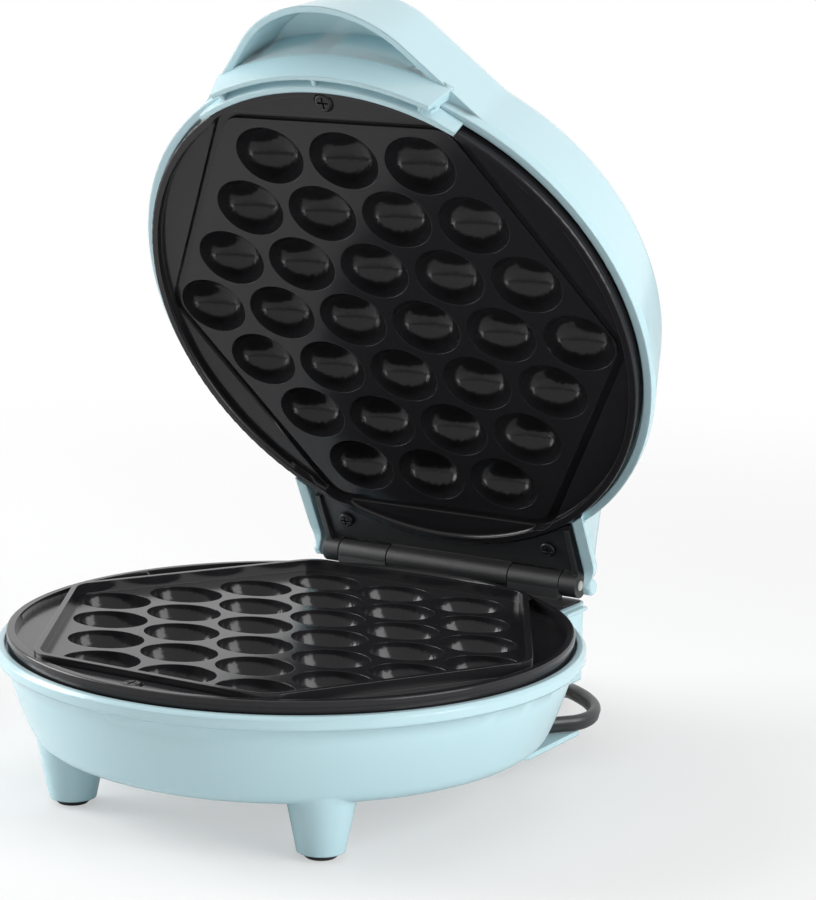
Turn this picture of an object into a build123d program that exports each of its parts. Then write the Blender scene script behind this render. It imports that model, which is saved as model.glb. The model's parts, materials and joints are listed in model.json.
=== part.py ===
"""Egg waffle pan: a round table-top iron with two non-stick plates of egg cells.

Everything is drawn with the lid closed, round the axis of the plates.  The lid's pieces are then
swung up to the resting angle, and the whole pan is slid so that the middle of its footprint
stands on the origin.  +Z is up, the hinge is at +Y and the handle at -Y.
"""

from build123d import *
import math
import os

os.makedirs("parts", exist_ok=True)

# ---------------------------------------------------------------- driving sizes, millimetres
plate_radius = 102.3          # outer lip of both baking plates
rim_radius = 106.3            # outer edge of both plastic shells
seam_z = 61.6                 # height at which the two plates meet
open_angle = 62.0             # the lid's resting angle, from closed
footprint_shift = 19.2        # from the plate axis back to the middle of the footprint
table_z = 1.2                 # height of the table in the drawing
wall = 2.6                    # plastic wall
draft = 20.0                  # slope of the lid's dome, degrees

hinge_y = 114.4
hinge_z = 61.2
hinge_axis = Axis((0, hinge_y, hinge_z), (1, 0, 0))
knuckle_radius = 4.9

cell_pitch_x, cell_pitch_y = 32.0, 23.7
cell_half_length, cell_half_width = 14.4, 12.0
cell_rows = (3, 4, 5, 6, 5, 4, 3)
hex_corner_x = 97.0           # corner of the hexagon on the X axis
hex_edge_half = 47.0          # half of its edge beside the handle
hex_edge_y = 87.0
cord_diameter = 6.3


def to_rest(part, on_lid):
    """Swing a lid piece up to its resting angle and stand the pan on the origin."""
    if on_lid:
        part = part.rotate(hinge_axis, -open_angle)
    return part.moved(Location((0, -footprint_shift, -table_z)))


def over(z):
    """Height in the lid that matches a height in the base, counted from the seam."""
    return 2 * seam_z - z


def flip(part):
    """Turn a piece of the base over into the lid; such pieces are alike left and right."""
    return part.rotate(Axis((0, 0, seam_z), (0, 1, 0)), 180)


def write(builder, label, on_lid=False):
    """Put a finished piece at rest, name it and save it."""
    builder.part = to_rest(builder.part, on_lid)
    builder.part.label = label
    export_step(builder.part, f"parts/{label}.step")


# ================================================================ base shell
bowl_bottom_z = 22.0
bowl_corners = [(86.5, bowl_bottom_z), (94.3, 27.0), (101.2, 46.0)]   # ends of the two side arcs
rim_top_z = 57.0
rim_band = 5.0                # height of the band under the rim
seat_radius = 103.0           # pocket that takes the lower plate
seat_z = 54.2

leg_x, leg_y = 52.6, 60.8
leg_bottom_z, leg_bottom_radius, leg_draft = 3.4, 8.4, 11.5
leg_top_z = 27.2
pad_height, pad_radius = 3.4, 6.1

housing_half = 60.5           # hinge housing at the back of the base
housing_back_y = 117.0
housing_bottom_z, housing_top_z = 25.0, 55.2
deck_z = 53.6                 # floor of the shallow recess on the housing
deck_edge = 2.2
deck_lip = 2.6                # the housing's top edge stands out by this much
cleat_y = 69.0                # cord cleat under the back of the bowl
cleat_leg_x = 40.0
cleat_neck = 9.0
flange_bottom_z, flange_top_z = 10.4, 12.4
flange_half_x = 72.4
flange_depth = 47.0

plate_screw_y = -96.5         # the screw beside the handle
deck_screws = [(-20.0, 108.0), (20.0, 108.0)]
screw_boss_z = 45.0
gland_x, gland_z = -35.0, 36.0
gland_radius = 5.0

inner_floor_z = bowl_bottom_z + wall
ledge_radius = bowl_corners[2][0] - wall
leg_spots = [(-leg_x, -leg_y), (leg_x, -leg_y), (-cleat_leg_x, cleat_y), (cleat_leg_x, cleat_y)]

with BuildPart() as bowl_void:
    with BuildSketch(Plane.XZ):
        with BuildLine():
            Line((0, inner_floor_z), (bowl_corners[0][0], inner_floor_z))
            lower_arc = TangentArc(
                (bowl_corners[0][0], inner_floor_z),
                (bowl_corners[1][0] - wall, bowl_corners[1][1] + 1.0),
                tangent=(1, 0),
            )
            TangentArc(lower_arc @ 1, (ledge_radius, bowl_corners[2][1] + 1.0), tangent=lower_arc % 1)
            Polyline(
                (ledge_radius, bowl_corners[2][1] + 1.0),
                (ledge_radius, seat_z),
                (seat_radius, seat_z),
                (seat_radius, rim_top_z + 1),
                (0, rim_top_z + 1),
                (0, inner_floor_z),
            )
        make_face()
    revolve(axis=Axis.Z)

with BuildPart() as base_shell:
    # bowl with its flared side, and the rim band that stands out over it
    with BuildSketch(Plane.XZ):
        with BuildLine():
            Line((0, bowl_bottom_z), bowl_corners[0])
            corner_arc = TangentArc(bowl_corners[0], bowl_corners[1], tangent=(1, 0))
            TangentArc(corner_arc @ 1, bowl_corners[2], tangent=corner_arc % 1)
            Polyline(
                bowl_corners[2],
                (bowl_corners[2][0] + 0.6, rim_top_z - rim_band - 1.2),
                (rim_radius - 0.8, rim_top_z - rim_band),
                (rim_radius, rim_top_z - rim_band + 0.8),
                (rim_radius, rim_top_z - 1.2),
                (rim_radius - 1.2, rim_top_z),
                (0, rim_top_z),
                (0, bowl_bottom_z),
            )
        make_face()
    revolve(axis=Axis.Z)
    # hinge housing, a box with rounded back corners grown from the bowl
    with BuildSketch(Plane.XY.offset(housing_bottom_z)) as housing_outline:
        with Locations((0, housing_back_y - 30)):
            Rectangle(2 * housing_half, 60)
        fillet(housing_outline.vertices().group_by(Axis.Y)[-1], 7)
    extrude(amount=housing_top_z - housing_bottom_z)
    # its top edge flares outwards on both sides
    with BuildSketch(Plane.XZ.offset(-housing_back_y + 7)):
        with BuildLine():
            Polyline(
                (0, housing_top_z - 3.6),
                (housing_half, housing_top_z - 3.6),
                (housing_half + deck_lip, housing_top_z - 1.6),
                (housing_half + deck_lip, housing_top_z - 0.6),
                (housing_half + deck_lip - 0.8, housing_top_z - 0.4),
                (0, housing_top_z - 0.4),
                close=True,
            )
        make_face()
        mirror(about=Plane.YZ)
    extrude(amount=16)
    # the legs: two at the front, two short ones under the cord cleat
    with BuildSketch(Plane.XY.offset(leg_bottom_z)):
        with Locations(*leg_spots[:2]):
            Circle(leg_bottom_radius)
    extrude(amount=leg_top_z - leg_bottom_z, taper=-leg_draft)
    with BuildSketch(Plane.XY.offset(leg_bottom_z)):
        with Locations(*leg_spots[2:]):
            Circle(leg_bottom_radius)
    extrude(amount=flange_bottom_z - leg_bottom_z, taper=-leg_draft)
    # cord cleat: neck and flange
    with BuildSketch(Plane.XY.offset(flange_bottom_z)):
        with Locations((0, cleat_y)):
            SlotCenterToCenter(2 * cleat_leg_x, 2 * cleat_neck)
    extrude(amount=bowl_bottom_z + 5 - flange_bottom_z)
    with BuildSketch(Plane.XY.offset(flange_bottom_z)):
        with Locations((0, cleat_y)):
            RectangleRounded(2 * flange_half_x, flange_depth, 6)
    extrude(amount=flange_top_z - flange_bottom_z)
    # everything inside the bowl is open
    add(bowl_void.part, mode=Mode.SUBTRACT)
    # hollow of the housing, with the way through for the wires
    with BuildSketch(Plane.XY.offset(housing_bottom_z + wall)):
        with Locations((0, housing_back_y - wall - 15)):
            Rectangle(2 * (housing_half - wall), 30)
        Circle(bowl_corners[2][0] + 0.8, mode=Mode.SUBTRACT)
    extrude(amount=deck_z - housing_bottom_z - 2 * wall, mode=Mode.SUBTRACT)
    with Locations((0, bowl_corners[2][0] - 2, gland_z + 2)):
        Box(46, 17, 12, mode=Mode.SUBTRACT)
    # shallow recess that the hinge bracket sits in
    with BuildSketch(Plane.XY.offset(deck_z)):
        with Locations((0, housing_back_y - deck_edge - 15)):
            Rectangle(2 * (housing_half - deck_edge), 30)
        Circle(rim_radius + 0.2, mode=Mode.SUBTRACT)
    extrude(amount=5, mode=Mode.SUBTRACT)
    # hole for the cord's strain relief
    with BuildSketch(Plane.XZ.offset(-housing_back_y)):
        with Locations((gland_x, gland_z)):
            Circle(gland_radius)
    extrude(amount=2 * wall, both=True, mode=Mode.SUBTRACT)
    # pockets for the foot pads
    with BuildSketch(Plane.XY.offset(table_z)):
        with Locations(*leg_spots):
            Circle(pad_radius)
    extrude(amount=pad_height, mode=Mode.SUBTRACT)
    # boss for the front plate screw
    with BuildSketch(Plane.XY.offset(screw_boss_z)):
        with Locations((0, plate_screw_y)):
            Circle(4.3)
    extrude(amount=seat_z - screw_boss_z)
    with Locations((0, plate_screw_y, seat_z)):
        Hole(1.6, 8)
    # holes for the screws of the hinge bracket
    with Locations(*[(x, y, deck_z) for x, y in deck_screws]):
        Hole(1.6, 6)
write(base_shell, "base_shell")

with BuildPart() as foot_pads:
    with BuildSketch(Plane.XY.offset(table_z)):
        with Locations(*leg_spots):
            Circle(pad_radius)
    extrude(amount=pad_height)
    chamfer(edges().group_by(Axis.Z)[0], 0.8)
write(foot_pads, "foot_pads")

# ================================================================ baking plates
lip_gap = 0.15                # half of the gap between the two lips
step_z = 59.2                 # the lip overhangs the plate's side here
plate_side_radius = 101.9
lip_inner_radius = 99.0
field_z = 58.6                # face that the cells open into
skin = 2.6                    # thickness of the casting
egg_bottom_z = field_z - 0.01 - cell_half_width - 1.8
tab_z = 60.6                  # raised tab beside the handle
tab_y = -90.5
ridge_z = 62.8
ridge_width = 2.2
boss_spots = [(-60, -60), (60, -60), (-60, 60), (60, 60)]
shield_z = 36.6

cell_spots = [
    (cell_pitch_x * (column - (count - 1) / 2), cell_pitch_y * (row - 3))
    for row, count in enumerate(cell_rows)
    for column in range(count)
]


def egg(half_length, half_width):
    """Lower half of a long egg lying on the X axis, turned from half an ellipse."""
    with BuildPart() as form:
        with BuildSketch(Plane.XY):
            Ellipse(half_length, half_width)
            split(bisect_by=Plane.XZ)
        revolve(axis=Axis.X)
        split(bisect_by=Plane.XY, keep=Keep.BOTTOM)
    return form.part


def hexagon(grow):
    """Outline of the cell field with rounded corners, grown outwards by an amount."""
    with BuildSketch(mode=Mode.PRIVATE) as outline:
        with BuildLine():
            Polyline(
                (hex_corner_x + grow, 0),
                (hex_edge_half + grow * 0.6, hex_edge_y + grow),
                (-hex_edge_half - grow * 0.6, hex_edge_y + grow),
                (-hex_corner_x - grow, 0),
                (-hex_edge_half - grow * 0.6, -hex_edge_y - grow),
                (hex_edge_half + grow * 0.6, -hex_edge_y - grow),
                close=True,
            )
        make_face()
        fillet(outline.vertices(), 9 + grow)
    return outline.sketch


with BuildPart() as casting:
    # round side with the overhanging lip
    with BuildSketch(Plane.XY.offset(seat_z)):
        Circle(plate_side_radius)
    extrude(amount=step_z - seat_z)
    with BuildSketch(Plane.XY.offset(step_z)):
        Circle(plate_radius)
    extrude(amount=seam_z - lip_gap - step_z)
    fillet(edges().group_by(Axis.Z)[-1], 0.7)
    with BuildSketch(Plane.XY.offset(field_z)):
        Circle(lip_inner_radius)
    extrude(amount=5, taper=-8, mode=Mode.SUBTRACT)
    # open underneath, between the side and the cells
    with BuildSketch(Plane.XY.offset(seat_z - 1)):
        Circle(plate_side_radius - skin)
    extrude(amount=field_z - skin - seat_z + 1, mode=Mode.SUBTRACT)
    # raised tab for the screw beside the handle
    with BuildSketch(Plane.XY.offset(field_z - skin)):
        Circle(plate_side_radius - 1)
        with Locations((0, tab_y + 150)):
            Rectangle(300, 300, mode=Mode.SUBTRACT)
    extrude(amount=tab_z - field_z + skin)
    with BuildSketch(Plane.XY.offset(seat_z)):
        with Locations((0, plate_screw_y)):
            Circle(4.2)
    extrude(amount=field_z - seat_z)
    with Locations((0, plate_screw_y, tab_z)):
        CounterBoreHole(2.2, 3.9, 1.2, 10)
    # bosses that carry the heat shield
    with BuildSketch(Plane.XY.offset(shield_z + 0.8)):
        with Locations(*boss_spots):
            Circle(4)
    extrude(amount=field_z - skin / 2 - shield_z - 0.8)
    # flat seat for the thermostat
    with BuildSketch(Plane.XY.offset(egg_bottom_z)):
        Circle(9)
    extrude(amount=field_z - skin / 2 - egg_bottom_z)
    # cells: the outer skins first, then the hollows
    with Locations(*[(x, y, field_z - 0.01) for x, y in cell_spots]):
        add(egg(cell_half_length + 1.5, cell_half_width + 1.8))
    with Locations(*[(x, y, field_z) for x, y in cell_spots]):
        add(egg(cell_half_length, cell_half_width), mode=Mode.SUBTRACT)

with BuildPart() as lower_plate:
    add(casting.part)
    # raised ridge round the cells
    with BuildSketch(Plane.XY.offset(field_z - 1)):
        add(hexagon(ridge_width))
        add(hexagon(0), mode=Mode.SUBTRACT)
    extrude(amount=ridge_z - field_z + 1)

write(lower_plate, "lower_plate")

with BuildPart() as upper_plate:
    add(casting.part)
    # groove that the ridge stands in when the lid is down
    with BuildSketch(Plane.XY.offset(field_z - 1.4)):
        add(hexagon(ridge_width + 0.8))
        add(hexagon(-0.4), mode=Mode.SUBTRACT)
    extrude(amount=5, mode=Mode.SUBTRACT)
upper_plate.part = flip(upper_plate.part)
write(upper_plate, "upper_plate", on_lid=True)

# ================================================================ heat under each plate
tube_radius = 3.2
tube_ring = 62.0
tube_z = egg_bottom_z - tube_radius
tube_open = 40.0              # gap of the ring towards the hinge, degrees
shield_radius = 90.0
shield_skin = 0.8
shield_rim = 4.0


with BuildPart() as lower_heating_element:
    with BuildSketch(Plane.XZ):
        with Locations((tube_ring, tube_z)):
            Circle(tube_radius)
    revolve(axis=Axis.Z, revolution_arc=360 - tube_open)
lower_heating_element.part = lower_heating_element.part.rotate(Axis.Z, 90 + tube_open / 2)
end_angle = math.radians(tube_open / 2)
pin_x, pin_y = tube_ring * math.sin(end_angle), tube_ring * math.cos(end_angle)
with BuildPart() as heater_pins:
    with BuildSketch(Plane.XY.offset(tube_z - 12)):
        with Locations((-pin_x, pin_y), (pin_x, pin_y)):
            Circle(1.6)
    extrude(amount=12)
with BuildPart() as lower_heater:
    add(lower_heating_element.part)
    add(heater_pins.part)
upper_heater_part = flip(lower_heater.part)
write(lower_heater, "lower_heating_element")
with BuildPart() as upper_heater:
    add(upper_heater_part)
write(upper_heater, "upper_heating_element", on_lid=True)

with BuildPart() as shield_blank:
    with BuildSketch(Plane.XY.offset(shield_z)):
        Circle(shield_radius)
    extrude(amount=shield_rim)
    with BuildSketch(Plane.XY.offset(shield_z + shield_skin)):
        Circle(shield_radius - shield_skin)
    extrude(amount=shield_rim, mode=Mode.SUBTRACT)
    # way through for the thermostat and for the heater's pins
    with BuildSketch(Plane.XY.offset(shield_z - 1)):
        Circle(13)
        with Locations((0, pin_y)):
            SlotCenterToCenter(2 * pin_x, 14)
        with Locations(*boss_spots):
            Circle(1.6)
    extrude(amount=5, mode=Mode.SUBTRACT)
with BuildPart() as lower_shield:
    add(shield_blank.part)
write(lower_shield, "lower_heat_shield")
with BuildPart() as upper_shield:
    add(flip(shield_blank.part))
write(upper_shield, "upper_heat_shield", on_lid=True)

with BuildPart() as shield_screw_set:
    with BuildSketch(Plane.XY.offset(shield_z - 2)):
        with Locations(*boss_spots):
            Circle(3.2)
    extrude(amount=2)
    with BuildSketch(Plane.XY.offset(shield_z - 1)):
        with Locations(*boss_spots):
            Circle(1.5)
    extrude(amount=1 + shield_skin)
with BuildPart() as lower_shield_screws:
    add(shield_screw_set.part)
write(lower_shield_screws, "lower_shield_screws")
with BuildPart() as upper_shield_screws:
    add(flip(shield_screw_set.part))
write(upper_shield_screws, "upper_shield_screws", on_lid=True)

# snap-disc thermostats against the middle of each plate
thermostat_radius = 8.2
with BuildPart() as thermostat_form:
    with BuildSketch(Plane.XY.offset(egg_bottom_z - 6.5)):
        Circle(thermostat_radius)
    extrude(amount=6.5)
    with BuildSketch(Plane.XY.offset(egg_bottom_z - 9.5)):
        Circle(thermostat_radius - 1.5)
    extrude(amount=3)
    with BuildSketch(Plane.XY.offset(egg_bottom_z - 15)):
        with Locations((-4.5, 0), (4.5, 0)):
            Rectangle(0.8, 6.3)
    extrude(amount=6)
with BuildPart() as base_thermostat:
    add(thermostat_form.part)
write(base_thermostat, "base_thermostat")
with BuildPart() as lid_thermostat:
    add(flip(thermostat_form.part))
write(lid_thermostat, "lid_thermostat", on_lid=True)

# thermal fuse in its sleeve, clipped on the floor side of the shield
with BuildPart() as thermal_fuse:
    with BuildSketch(Plane.YZ.offset(-24)):
        with Locations((30, shield_z - 2.6)):
            Circle(2.6)
    extrude(amount=48)
    with BuildSketch(Plane.YZ.offset(-30)):
        with Locations((30, shield_z - 2.6)):
            Circle(0.7)
    extrude(amount=60)
write(thermal_fuse, "thermal_fuse")

# screw terminal block on the floor of the bowl
with BuildPart() as terminal_block:
    with Locations((0, 54, inner_floor_z)):
        Box(34, 18, 7.5, align=(Align.CENTER, Align.CENTER, Align.MIN))
    with Locations(*[(x, 54, inner_floor_z + 4) for x in (-11, 0, 11)]):
        Cylinder(3, 24, rotation=(90, 0, 0), mode=Mode.SUBTRACT)
    fillet(edges().filter_by(Axis.Z), 1.2)
write(terminal_block, "terminal_block")

# ================================================================ lid shell
band_z = 66.0                 # lower edge of the lid's round shell
dome_z = 70.0                 # the slope starts here; also the edge of the handle
crown_z = 113.0
crown_round = 20.0
nose_tip_y = -131.0
nose_shoulder = (34.0, -116.0)
nose_root = (59.0, -88.0)
heel_half = 64.7              # hinge housing of the lid
heel_inner = 60.2
heel_back_y = 120.0
heel_corner = 17.0
heel_bottom_z = 62.2
lid_deck_z = 65.6             # the lid's bracket lies against this face
boss_radius, boss_end = 3.2, 63.4   # bosses of the ears, on the hinge axis
finger_wall = 111.8           # wall between the finger recess and the plate
finger_roof_z = 85.0


with BuildSketch() as lid_outline:
    # the round lid and its nose-shaped handle, with hollow corners between them
    Circle(rim_radius)
    with BuildLine():
        ThreePointArc(nose_shoulder, (0, nose_tip_y), (-nose_shoulder[0], nose_shoulder[1]))
        Polyline((-nose_shoulder[0], nose_shoulder[1]), (-nose_root[0], nose_root[1]), (0, 0))
        Polyline((0, 0), nose_root, nose_shoulder)
    make_face()
    fillet(lid_outline.vertices().group_by(Axis.Y)[-1], 14)


def dome(inset, top_z, rounding):
    """Lid form above the handle's edge, drawn inwards by an inset and sloped inwards."""
    with BuildPart() as form:
        with BuildSketch(Plane.XY.offset(dome_z)):
            add(lid_outline.sketch)
            if inset:
                offset(amount=-inset)
        extrude(amount=top_z - dome_z, taper=draft)
        fillet(faces().sort_by(Axis.Z)[-1].edges(), rounding)
    return form.part


# hinge housing of the lid: sloped sides, a rounded back, and ears that hang beside the hinge
with BuildPart() as heel:
    with BuildSketch(Plane.XY.offset(heel_bottom_z)) as heel_outline:
        with Locations((0, heel_back_y - 45)):
            Rectangle(2 * heel_half, 90)
        fillet(heel_outline.vertices().group_by(Axis.Y)[-1], heel_corner)
    extrude(amount=crown_z - 5 - heel_bottom_z, taper=draft)
    with BuildSketch(Plane.YZ):
        with BuildLine():
            Polyline((20, heel_bottom_z), (heel_back_y - 1.5, heel_bottom_z), (heel_back_y, 66))
            Line((heel_back_y, 66), (heel_back_y - 2.5, 78))
            TangentArc((heel_back_y - 2.5, 78), (90, 104), tangent=(-0.2, 1))
            Polyline((90, 104), (20, 108), (20, heel_bottom_z))
        make_face()
    extrude(amount=100, both=True, mode=Mode.INTERSECT)

# round bosses over the ends of the hinge pins
with BuildPart() as ear_bosses:
    with BuildSketch(Plane.YZ.offset(-boss_end)):
        with Locations((hinge_y, hinge_z)):
            Circle(boss_radius)
    extrude(amount=2 * boss_end)
    chamfer(edges().filter_by(GeomType.CIRCLE), 0.8)

with BuildPart() as ears:
    with BuildSketch(Plane.YZ):
        with BuildLine():
            Polyline((84, lid_deck_z), (84, heel_bottom_z), (106, heel_bottom_z))
            Spline(
                (106, heel_bottom_z),
                (111.4, hinge_z - 1.6),
                (hinge_y, hinge_z - boss_radius),
                tangents=((1, 0), (1, 0)),
            )
            Polyline((hinge_y, hinge_z - boss_radius), (heel_back_y, 64), (heel_back_y, lid_deck_z))
            Line((heel_back_y, lid_deck_z), (84, lid_deck_z))
        make_face()
    extrude(amount=heel_half - 0.3, both=True)
    # the ears follow the housing's rounded corners
    with BuildSketch(Plane.XY.offset(50)):
        add(heel_outline.sketch.moved(Location((0, 0, -heel_bottom_z))))
    extrude(amount=20, mode=Mode.INTERSECT)
    add(ear_bosses.part)
    with BuildSketch(Plane.YZ):
        with Locations((100, hinge_z)):
            Rectangle(80, 40)
    extrude(amount=heel_inner, both=True, mode=Mode.SUBTRACT)

lens_y = -62.0                # red and green lamp behind the handle
lens_spots = (-9.0, 9.0)
lens_radius = 3.5
hinge_screw_x = (-46.0, 46.0)
hinge_screw_y = 99.5

# what is open inside the lid: over the plate, over the finger recess, and in the heel
lid_seat_radius = 103.2
with BuildPart() as lid_void:
    with BuildSketch(Plane.XY.offset(heel_bottom_z - 1)):
        Circle(lid_seat_radius)
    extrude(amount=over(seat_z) - heel_bottom_z + 1)
    with BuildSketch(Plane.XY.offset(over(seat_z))):
        Circle(lid_seat_radius - wall)
    extrude(amount=crown_z - wall - over(seat_z), taper=draft)
    fillet(faces().sort_by(Axis.Z)[-1].edges(), crown_round - wall)

with BuildPart() as finger_recess:
    # a blind pocket under the nose, its roof rounded into the walls
    add(dome(wall, crown_z - wall, crown_round - wall))
    with BuildSketch(Plane.XY.offset(dome_z - 5)):
        Circle(finger_wall)
        with Locations((0, 100)):
            Rectangle(400, 400 - 2 * 12)
    extrude(amount=60, mode=Mode.SUBTRACT)
    with BuildSketch(Plane.XY.offset(finger_roof_z)):
        Rectangle(400, 400)
    extrude(amount=60, mode=Mode.SUBTRACT)

with BuildPart() as lid_shell:
    with BuildSketch(Plane.XY.offset(band_z)):
        Circle(rim_radius)
    extrude(amount=dome_z - band_z)
    add(dome(0, crown_z, crown_round))
    add(heel.part)
    add(ears.part)
    # room for the upper plate and what lies behind it
    add(lid_void.part, mode=Mode.SUBTRACT)
    add(finger_recess.part, mode=Mode.SUBTRACT)
    # the bracket's face between the ears
    with BuildSketch(Plane.XY.offset(lid_deck_z - 20)):
        with Locations((0, 120)):
            Rectangle(2 * heel_inner, 100)
    extrude(amount=20, mode=Mode.SUBTRACT)
    with BuildSketch(Plane.YZ):
        with Locations((hinge_y, hinge_z)):
            Circle(knuckle_radius + 0.4)
    extrude(amount=heel_inner, both=True, mode=Mode.SUBTRACT)
    # boss for the front screw of the upper plate
    with BuildSketch(Plane.XY.offset(over(seat_z))):
        with Locations((0, plate_screw_y)):
            Circle(4.5)
    extrude(amount=14)
    with Locations(Location((0, plate_screw_y, over(seat_z)), (180, 0, 0))):
        Hole(1.6, 10)
    # bores of the two lamp lenses in the crown, and slots for the hinge screws
    with Locations(*[(x, lens_y, crown_z) for x in lens_spots]):
        Hole(lens_radius, 12)
    with Locations(*[Location((x, hinge_screw_y, lid_deck_z), (180, 0, 0)) for x in hinge_screw_x]):
        Hole(1.6, 9)
lid_clear = lid_shell.part
write(lid_shell, "lid_shell", on_lid=True)

# ================================================================ finger guard under the handle
guard_bottom_z = 58.8
guard_half_angle = 31.0
inner_rib_radius = (102.7, 104.7)
outer_rib_low = (107.6, 109.4)
outer_rib_high = (109.4, finger_wall)
guard_top_z = 71.5

with BuildPart() as finger_guard:
    # two ring-shaped walls, joined by a web and by small ribs
    with BuildSketch(Plane.XZ):
        with BuildLine():
            Polyline(
                (inner_rib_radius[0] + 0.4, band_z - 0.2),
                (inner_rib_radius[0], guard_bottom_z),
                (inner_rib_radius[1], guard_bottom_z),
                (rim_radius, band_z - 3.0),
                (outer_rib_low[0], band_z - 3.0),
                (outer_rib_low[0], guard_bottom_z),
                (outer_rib_low[1], guard_bottom_z),
                (outer_rib_high[1], guard_top_z),
                (rim_radius + 0.2, guard_top_z),
                (rim_radius + 0.2, band_z - 0.2),
                close=True,
            )
        make_face()
    revolve(axis=Axis.Z, revolution_arc=2 * guard_half_angle)
finger_guard.part = finger_guard.part.rotate(Axis.Z, -90 - guard_half_angle)
with BuildPart() as guard_ribs:
    with BuildSketch(Plane.XY.offset(guard_bottom_z + 0.8)):
        with PolarLocations(106.2, 3, start_angle=-90 - 23, angular_range=46, endpoint=True):
            Rectangle(4.2, 1.4)
    extrude(amount=4)
with BuildPart() as guard:
    add(finger_guard.part)
    add(guard_ribs.part)
    # nothing of it enters the lid shell
    add(lid_clear, mode=Mode.SUBTRACT)
write(guard, "finger_guard", on_lid=True)

# ================================================================ hinge
pin_radius = 2.0
bore_radius = 2.08
lid_barrel_half = 27.4
base_knuckle = (28.0, 50.0)
lid_end_knuckle = (50.6, 57.6)
bracket_skin = 2.0
bracket_half = 57.6
bracket_clear = 103.6         # both brackets stay outside the plates


def bar(start, end, radius):
    """Round bar along the hinge axis, from one X to another."""
    with BuildPart() as form:
        with BuildSketch(Plane.YZ.offset(start)):
            with Locations((hinge_y, hinge_z)):
                Circle(radius)
        extrude(amount=end - start)
    return form.part


with BuildPart() as base_bracket:
    with BuildSketch(Plane.XY.offset(deck_z)):
        with Locations((0, 107.5)):
            Rectangle(2 * bracket_half, 13.6)
        Circle(rim_radius + 0.3, mode=Mode.SUBTRACT)
    extrude(amount=bracket_skin)
    for start, end in (base_knuckle, (-base_knuckle[1], -base_knuckle[0])):
        with BuildSketch(Plane.XY.offset(deck_z)):
            with Locations(((start + end) / 2, hinge_y - 2.6)):
                Rectangle(end - start, 4.2)
        extrude(amount=hinge_z - deck_z)
        add(bar(start, end, knuckle_radius))
    add(bar(-60, 60, bore_radius), mode=Mode.SUBTRACT)
    with Locations(*[(x, y, deck_z + bracket_skin) for x, y in deck_screws]):
        Hole(1.6, 3)
write(base_bracket, "base_hinge_bracket")

with BuildPart() as lid_bracket:
    with BuildSketch(Plane.XY.offset(lid_deck_z - bracket_skin)):
        with Locations((0, 100)):
            Rectangle(2 * bracket_half, 26)
        Circle(bracket_clear, mode=Mode.SUBTRACT)
    extrude(amount=bracket_skin)
    for start, end in (
        (-lid_end_knuckle[1], -lid_end_knuckle[0]),
        (-lid_barrel_half, lid_barrel_half),
        lid_end_knuckle,
    ):
        with BuildSketch(Plane.XY.offset(hinge_z)):
            with Locations(((start + end) / 2, hinge_y - 2.4)):
                Rectangle(end - start, 4.8)
        extrude(amount=lid_deck_z - hinge_z)
        add(bar(start, end, knuckle_radius))
    # stiffening ribs along both sides
    for side in (-1, 1):
        with BuildSketch(Plane.YZ.offset(side * bracket_half - (2.2 if side > 0 else 0))):
            with BuildLine():
                Polyline(
                    (88.5, lid_deck_z - 0.5),
                    (88.5, lid_deck_z - 3.4),
                    (96, hinge_z + 0.6),
                    (hinge_y - 2, hinge_z + 0.2),
                    (hinge_y - 2, lid_deck_z - 0.5),
                    close=True,
                )
            make_face()
        extrude(amount=2.2)
    # nothing but the knuckles hangs over the base's own knuckles
    for start, end in (base_knuckle, (-base_knuckle[1], -base_knuckle[0])):
        add(bar(start - 0.4, end + 0.4, knuckle_radius + 0.5), mode=Mode.SUBTRACT)
    add(bar(-60, 60, pin_radius), mode=Mode.SUBTRACT)
    with Locations(
        *[Location((x, hinge_screw_y, lid_deck_z - bracket_skin), (180, 0, 0)) for x in hinge_screw_x]
    ):
        Hole(1.6, 3)
write(lid_bracket, "lid_hinge_bracket", on_lid=True)

with BuildPart() as hinge_pins:
    add(bar(-lid_end_knuckle[1], -22, pin_radius))
    add(bar(22, lid_end_knuckle[1], pin_radius))
write(hinge_pins, "hinge_pins", on_lid=True)


def pan_head_screw(radius, head_radius, head_height, length):
    """Pan-head screw standing on the origin, its shank down and a cross in its head."""
    with BuildPart() as screw:
        Cylinder(radius, length, align=(Align.CENTER, Align.CENTER, Align.MAX))
        Cylinder(head_radius, head_height, align=(Align.CENTER, Align.CENTER, Align.MIN))
        fillet(edges().group_by(Axis.Z)[-1], head_height * 0.45)
        with BuildSketch(Plane.XY.offset(head_height)):
            Rectangle(head_radius * 1.3, head_radius * 0.26)
            Rectangle(head_radius * 0.26, head_radius * 1.3)
        extrude(amount=-head_height * 0.6, mode=Mode.SUBTRACT)
    return screw.part


plate_screw = pan_head_screw(1.6, 3.6, 2.0, 12)
bracket_screw = pan_head_screw(1.6, 3.2, 1.8, 6)
deck_screw = pan_head_screw(1.6, 2.8, 1.4, 6)
with BuildPart() as lower_plate_screw:
    with Locations((0, plate_screw_y, tab_z - 1.2)):
        add(plate_screw)
write(lower_plate_screw, "lower_plate_screw")
with BuildPart() as upper_plate_screw:
    with Locations(Location((0, plate_screw_y, over(tab_z - 1.2)), (180, 0, 0))):
        add(plate_screw)
write(upper_plate_screw, "upper_plate_screw", on_lid=True)
with BuildPart() as lid_hinge_screws:
    with Locations(
        *[Location((x, hinge_screw_y, lid_deck_z - bracket_skin), (180, 0, 0)) for x in hinge_screw_x]
    ):
        add(bracket_screw)
write(lid_hinge_screws, "lid_hinge_screws", on_lid=True)
with BuildPart() as base_hinge_screws:
    with Locations(*[(x, y, deck_z + bracket_skin) for x, y in deck_screws]):
        add(deck_screw)
write(base_hinge_screws, "base_hinge_screws")

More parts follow.
